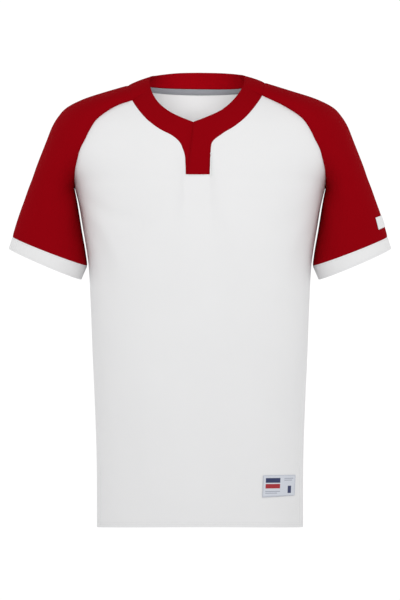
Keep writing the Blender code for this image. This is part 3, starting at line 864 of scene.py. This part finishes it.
# The tag's size seen from ahead, its width along the cloth, and its middle column's place there
TAG_WIDE, TAG_HIGH = 56.5, 37.2
TAG_ROUND = 78.0
TAG_MIDDLE = 34.3
# Bars and rules on the tag: left, right, top, bottom and how soft the upper and lower edges are
NAVY_BARS = ((4.0, 26.5, 5.0, 13.5, 0.5), (40.5, 47.5, 19.0, 32.0, 0.5))
SCARLET_BAR = ((4.0, 26.5, 15.5, 23.5, 0.5),)
THIN_RULES = (
    (4.0, 26.5, 28.2, 29.2, 0.4),
    (4.0, 22.0, 31.2, 32.2, 0.4),
    (33.5, 52.0, 5.4, 6.4, 0.4),
    (33.5, 49.0, 8.6, 9.6, 0.4),
)


def tape_finish():
    """Grey neck tape: a herringbone twill with lighter edges."""
    finish = Finish("grey_tape", 0.8, 0.15)
    across, down = finish.cloth_place()
    lean = (across / 3.2).worked("PINGPONG", 0.5) * 3.0
    twill = (down / 0.9 + lean).wave()
    edge = 1 - down.between(-TAPE_WIDTH + 1.0, -1.0, 0.6)
    patches = finish.cloudy(0.05)
    share = (twill * 0.5 + patches * 0.3 + edge * 0.3).clamped()
    finish.feed("Base Color", finish.mixed(share, *GREY))
    finish.raise_by(twill, 0.2, 0.5)
    return finish.material


def bars(x, y, places):
    """1 on each of these bars of the tag and 0 beside them."""
    found = []
    for left, right, top, low, soft in places:
        found.append(x.between(left, right, 0.5) * y.between(top, low, soft))
    return sum(found[1:], found[0])


def tag_finish():
    """Woven hem tag: pale ground, plain colour bars and thin rules, and a satin weave."""
    finish = Finish("woven_tag", 0.6, 0.3)
    across, down = finish.cloth_place()
    x, y = (across + TAG_MIDDLE) * (TAG_WIDE / TAG_ROUND), down * -1
    weave = ((x / 0.5).wave() * (y / 0.4).wave()).clamped()
    ground = finish.mixed(weave, *TAG_GROUND)
    rim = 1 - x.between(1.3, TAG_WIDE - 1.3, 0.3) * y.between(1.3, TAG_HIGH - 1.3, 0.3)
    navy = (bars(x, y, NAVY_BARS) + bars(x, y, THIN_RULES) * 0.65).clamped()
    shade = finish.mixed(navy, ground, NAVY)
    shade = finish.mixed(bars(x, y, SCARLET_BAR).clamped(), shade, SCARLET)
    shade = finish.mixed((rim * 0.5).clamped(), shade, TAG_RIM)
    finish.feed("Base Color", shade)
    finish.raise_by(weave * 0.7 + rim * 0.3, 0.15, 0.5)
    return finish.material


def thread_finish(name, colours, gloss=0.2):
    """Sewing thread: a tight twist seen as fine slanted lines of painted shade."""
    finish = Finish(name, 0.6, gloss)
    place = finish.node("ShaderNodeTexCoord", None, None, "Object")
    x, y, z = [finish.node("ShaderNodeSeparateXYZ", None, {0: place}, out) for out in range(3)]
    twist = ((x + y + z) / 0.0007).wave()
    # Painted shade: the thread turns to its shaded colour along the slanted lines of the twist
    finish.feed("Base Color", finish.mixed(twist, *colours))
    finish.raise_by(twist, 0.05, 0.4)
    return finish.material


def floor_finish():
    """A plain pale floor, darker by a trace in wide patches."""
    finish = Finish("pale_floor", 0.9, 0.0)
    darker = tuple(0.95 * part for part in FLOOR_COLOUR)
    finish.feed("Base Color", finish.mixed(finish.cloudy(2.0) * 0.1, FLOOR_COLOUR, darker))
    return finish.material


# -------- the jersey


def tape_grid(sheets):
    """A strip inside the back neck, half on the band and half below it."""
    over, under = sheets["neckband_over"], sheets["neckband_under"]
    half = len(SLEEVE_SHARES) // 2
    count = len(BACK_PLACES) - 1 + half
    rows = [-1 - TAPE_TOWARDS, -1]
    on_left, on_right = over["grid"][rows, -count - 1 :], under["grid"][rows, 1 : count + 1]
    above, seam = np.concatenate([on_left, on_right], axis=1)
    out = np.concatenate([over["out"][-1, -count - 1 :], under["out"][-1, 1 : count + 1]])
    below = np.concatenate(
        [
            sheets["sleeve_left"]["grid"][TAPE_TOWARDS, half:],
            sheets["back_panel"]["grid"][TAPE_TOWARDS, 1:-1],
            sheets["sleeve_right"]["grid"][TAPE_TOWARDS, : half + 1],
        ]
    )
    middle = seam - out * TAPE_DEPTH
    rows = []
    for share in (-1.0, -0.66, -0.33, 0.0, 0.33, 0.66, 1.0):
        step = (above if share < 0 else below) - seam
        step /= np.linalg.norm(step, axis=1, keepdims=True)
        rows.append(middle + step * abs(share) * TAPE_WIDTH / 2)
    return np.array(rows)


def tag_grid():
    """The hem tag between its corners seen from ahead, following the cloth under it."""
    above, below = np.array(TAG_ABOVE), np.array(TAG_BELOW)
    rows = []
    for share in np.linspace(0, 1, TAG_GRID[0]):
        left, right = above + (below - above) * share
        steps = (right - left) * np.linspace(0, 1, TAG_GRID[1])[:, None]
        rows.append([on_body(*(left + step)) for step in steps])
    return np.array(rows)


def patch_grid():
    """The patch low on the outside of the left sleeve."""
    table = sleeve_table(1)
    turns = np.linspace(PATCH_FRONT, PATCH_BACK, PATCH_GRID[1]) / math.pi
    rows = np.linspace(*PATCH_ROWS, PATCH_GRID[0])
    return np.array([[sleeve_point(table, 1, row, turn) for turn in turns] for row in rows])


def lay_out_sheets():
    """Every cloth piece's smooth outer face, from the jersey's cut."""
    sleeves, seams = {}, {}
    rows = list(RAGLAN_STEPS) + list(ARM_STEPS)
    for side in (-1, 1):
        table = sleeve_table(side)
        grid = [[sleeve_point(table, side, row, share) for share in SLEEVE_SHARES] for row in rows]
        sleeves[side] = np.array(grid)
        seams[side] = neck_seam(side, sleeves[side])
    end = len(RAGLAN_STEPS)
    fronts = [sleeves[side][:end, -1][::-1] for side in (-1, 1)]
    backs = [sleeves[side][:end, 0][::-1] for side in (1, -1)]
    right, left = seams[-1][2][-1], seams[1][2][-1]
    foot = [on_body(*(right + (left - right) * share)[[0, 2]]) for share in FOOT_STEPS]
    front_top = np.concatenate([seams[-1][2], foot, seams[1][2][::-1]])
    back_top = np.concatenate([seams[1][0][::-1], seams[-1][0][1:]])
    grids = {
        "front_panel": panel_grid(front_top, fronts, False),
        "back_panel": panel_grid(back_top, backs, True),
    }
    for side, name in ((-1, "right"), (1, "left")):
        grid = sleeves[side]
        cuff, band = cuff_grid(side, grid), band_grid(side, seams[side])
        if side > 0:
            grid, cuff, band = grid[:, ::-1], cuff[:, ::-1], band[:, ::-1]
        grids[f"sleeve_{name}"] = grid
        grids[f"cuff_{name}"] = cuff
        grids["neckband_over" if side > 0 else "neckband_under"] = band
    return {name: {"grid": grid, "out": grid_normals(grid)} for name, grid in grids.items()}


def seam_points(sheets):
    """All seam lines, which the cloth dips into."""
    lines = []
    for name in ("front_panel", "back_panel"):
        grid = sheets[name]["grid"]
        lines += [grid[:, 0], grid[:, -1], grid[0]]
    for name in ("sleeve_left", "sleeve_right"):
        grid = sheets[name]["grid"]
        lines += [grid[0], grid[-1], grid[len(RAGLAN_STEPS) - 1 :, 0]]
    return np.concatenate([dense(line, SEAM_POINTS) for line in lines])


PIECES = {
    # node: cloth thickness, slot, held, flat width and length in metres, flat area in square metres
    "front_panel": (BODY_CLOTH, "white_knit", "hung", (0.60, 0.75), 0.352),
    "back_panel": (BODY_CLOTH, "white_knit", "hung", (0.60, 0.79), 0.426),
    "sleeve_right": (BODY_CLOTH, "red_knit", "hung", (0.45, 0.42), 0.105),
    "sleeve_left": (BODY_CLOTH, "red_knit", "hung", (0.45, 0.42), 0.105),
    "cuff_right": (BAND_CLOTH, "white_rib", "hung", (0.44, 0.026), 0.0109),
    "cuff_left": (BAND_CLOTH, "white_rib", "hung", (0.44, 0.026), 0.0109),
    "neckband_under": (BAND_CLOTH, "red_band", "stretched", (0.45, 0.05), 0.0169),
    "neckband_over": (BAND_CLOTH, "red_band", "stretched", (0.45, 0.05), 0.0177),
    "neck_tape": (TRIM_CLOTH, "grey_tape", "laid", (0.365, 0.012), None),
    "hem_tag": (TRIM_CLOTH, "woven_tag", "laid", (0.0800, 0.0375), None),
    "sleeve_patch": (TRIM_CLOTH, "white_patch", "laid", (0.0376, 0.0203), None),
}


def cloth_finishes():
    """The finish of each slot. A knit is given by its rib's and loop's width and its depth."""
    return {
        "white_knit": knit("white_knit", WHITE, 1.1, 0.9, 0.22),
        "red_knit": knit("red_knit", RED, 1.1, 0.9, 0.22, gloss=0.01),
        "white_rib": knit("white_rib", WHITE, 1.6, 1.0, 0.32),
        "red_band": knit("red_band", RED, 1.6, 1.0, 0.32, gloss=0.01),
        "grey_tape": tape_finish(),
        "woven_tag": tag_finish(),
        "white_patch": knit("white_patch", WHITE, 0.7, 0.6, 0.12, roughness=0.7, gloss=0.2),
    }


def crease_sheets(sheets):
    """Moves every sheet to its worn place, with creases and seam valleys."""
    seams = tree_of(seam_points(sheets))
    creases = crease_lines()
    for name, sheet in sheets.items():
        trim = name in ("hem_tag", "sleeve_patch")
        if "out" not in sheet:
            sheet["out"] = grid_normals(sheet["grid"])
        sheet["worn"] = sheet["grid"] + 0.0
        if name != "neck_tape":
            rise = relief(sheet["grid"].reshape(-1, 3), creases, seams)
            rise = rise.reshape(sheet["grid"].shape[:2]) + (TRIM_HEIGHT if trim else 0.0)
            sheet["worn"] += sheet["out"] * rise[:, :, None]
    lap = sheets["neckband_under"]
    step = lap["worn"][:, 0] - lap["worn"][:, 1]
    step /= np.linalg.norm(step, axis=1, keepdims=True)
    lap["worn"][:, 0] += step * BACK_LAP - lap["out"][:, 0] * BACK_TUCK


def stitch_pieces(sheets):
    """Sews the hem, the seams, the bands and the trims."""
    white_thread = thread_finish("white_thread", WHITE_THREAD)
    red_thread = thread_finish("red_thread", RED_THREAD, 0.03)
    pale_thread = thread_finish("pale_thread", PALE_THREAD)

    front, back = sheets["front_panel"], sheets["back_panel"]
    rows = [beside(panel, "foot", distance) for panel in (front, back) for distance in HEM_ROWS]
    first = len(RAGLAN_STEPS) + int(SIDE_ROWS_FROM * len(SIDE_STEPS))
    for edge in ("left", "right"):
        line, facing = beside(front, edge, BESIDE_SEAM)
        order = slice(first, None) if line[0, 2] > line[-1, 2] else slice(None, len(line) - first)
        rows.append((line[order], facing[order]))
    sew("body_stitches", [stitch_run(*row) for row in rows], white_thread)
    for side in ("right", "left"):
        cuff = sheets[f"cuff_{side}"]
        rows = [beside(cuff, "top", BESIDE_SEAM), beside(cuff, "foot", CUFF_EDGE_ROW)]
        sew(f"cuff_stitches_{side}", [stitch_run(*row) for row in rows], white_thread)
    for name in ("neckband_over", "neckband_under"):
        band = sheets[name]
        rows = [beside(band, "foot", BESIDE_SEAM), beside(band, "top", NECK_EDGE_ROW)]
        sew(f"{name}_stitches", [stitch_run(*row) for row in rows], red_thread)
    for name, thread, slot, inset in (
        ("hem_tag", pale_thread, "woven_tag", TAG_EDGE_ROW),
        ("sleeve_patch", white_thread, "white_patch", PATCH_EDGE_ROW),
    ):
        rows = [beside(sheets[name], edge, inset) for edge in ("top", "foot", "left", "right")]
        rows = [(line[1:-1], facing[1:-1]) for line, facing in rows]
        runs = [stitch_run(*row, **TRIM_THREAD) for row in rows]
        sew(f"{name}_stitches", runs, thread)


def make_jersey():
    """Lays out all the cloth, thickens it, and sews it."""
    finishes = cloth_finishes()
    sheets = lay_out_sheets()
    share_normals(list(sheets.values()))
    sheets["neck_tape"] = {"grid": tape_grid(sheets)}
    sheets["hem_tag"] = {"grid": tag_grid()}
    sheets["sleeve_patch"] = {"grid": patch_grid()}
    crease_sheets(sheets)
    for name, (cloth, slot, held, flat, area) in PIECES.items():
        piece = lay_sheet(f"{name}_cloth", sheets[name]["worn"])
        thicken(piece, cloth)
        dress(piece, finishes[slot], name)
    stitch_pieces(sheets)


# -------- floor, light and camera
PIXEL = 1.775 * MILLIMETRE
IMAGE_HIGH = 600
LEVEL_ROW = 84
CAMERA_AWAY = 20.0
SENSOR = 36.0
FLOOR = -1.25
FLOOR_REACH = 2.5
# The sky's strength, less towards its top and foot and more towards the sides
SKY_LEVEL = 1.05
SKY_FALL = 0.45
SKY_SIDES = 0.22
SPOT_WIDTH = math.radians(96.0)
LAMPS = (
    # name, kind, watts, size, place, aim
    ("key_light", "AREA", 4.5, 0.9, (0.1, -1.6, 0.1), (0.0, 0.0, -0.3)),
    ("neck_light", "SPOT", 0.72, 0.02, (-0.009, -0.045, -0.09), (-0.005, 0.08, 0.01)),
)


def make_floor():
    deselect()
    bpy.ops.mesh.primitive_circle_add(vertices=96, radius=FLOOR_REACH, fill_type="NGON")
    floor = bpy.context.active_object
    floor.name = "floor"
    for vertex in floor.data.vertices:
        vertex.co.z = FLOOR
    floor.data.materials.append(floor_finish())


def make_sky():
    """A white sky whose strength changes with its direction."""
    world = bpy.data.worlds.new("studio")
    world.use_nodes = True
    world.node_tree.nodes["Background"].inputs["Color"].default_value = (1.0, 1.0, 1.0, 1.0)
    bpy.context.scene.world = world
    nodes, links = world.node_tree.nodes, world.node_tree.links
    place, parts = nodes.new("ShaderNodeTexCoord"), nodes.new("ShaderNodeSeparateXYZ")
    links.new(place.outputs["Object"], parts.inputs[0])
    total = None
    for axis, gain in (("Z", -SKY_FALL), ("X", SKY_SIDES)):
        size, gained = nodes.new("ShaderNodeMath"), nodes.new("ShaderNodeMath")
        size.operation, gained.operation = "ABSOLUTE", "MULTIPLY_ADD"
        gained.inputs[1].default_value, gained.inputs[2].default_value = gain, SKY_LEVEL
        links.new(parts.outputs[axis], size.inputs[0])
        links.new(size.outputs[0], gained.inputs[0])
        if total:
            links.new(total, gained.inputs[2])
        total = gained.outputs[0]
    links.new(total, nodes["Background"].inputs["Strength"])


def hang_lamps():
    for name, kind, strength, size, place, aim in LAMPS:
        light = bpy.data.lights.new(name, kind)
        light.energy = strength
        if kind == "AREA":
            light.size = size
        else:
            light.shadow_soft_size = size
            light.spot_size, light.spot_blend = SPOT_WIDTH, 1.0
        lamp = bpy.data.objects.new(name, light)
        lamp.location = place
        lamp.rotation_euler = (Vector(aim) - Vector(place)).to_track_quat("-Z", "Y").to_euler()
        lamp.visible_camera = False
        bpy.context.scene.collection.objects.link(lamp)


def set_camera():
    camera = bpy.data.cameras.new("camera")
    camera.sensor_width = SENSOR
    camera.lens = SENSOR * CAMERA_AWAY / (IMAGE_HIGH * PIXEL)
    camera.clip_start, camera.clip_end = 0.5, 100.0
    holder = bpy.data.objects.new("camera", camera)
    holder.location = (0.0, -CAMERA_AWAY, (LEVEL_ROW - IMAGE_HIGH / 2) * PIXEL)
    holder.rotation_euler = (math.pi / 2, 0.0, 0.0)
    bpy.context.scene.collection.objects.link(holder)
    bpy.context.scene.camera = holder
    bpy.context.scene.view_settings.view_transform = "Standard"


make_floor()
make_sky()
hang_lamps()
set_camera()
make_jersey()
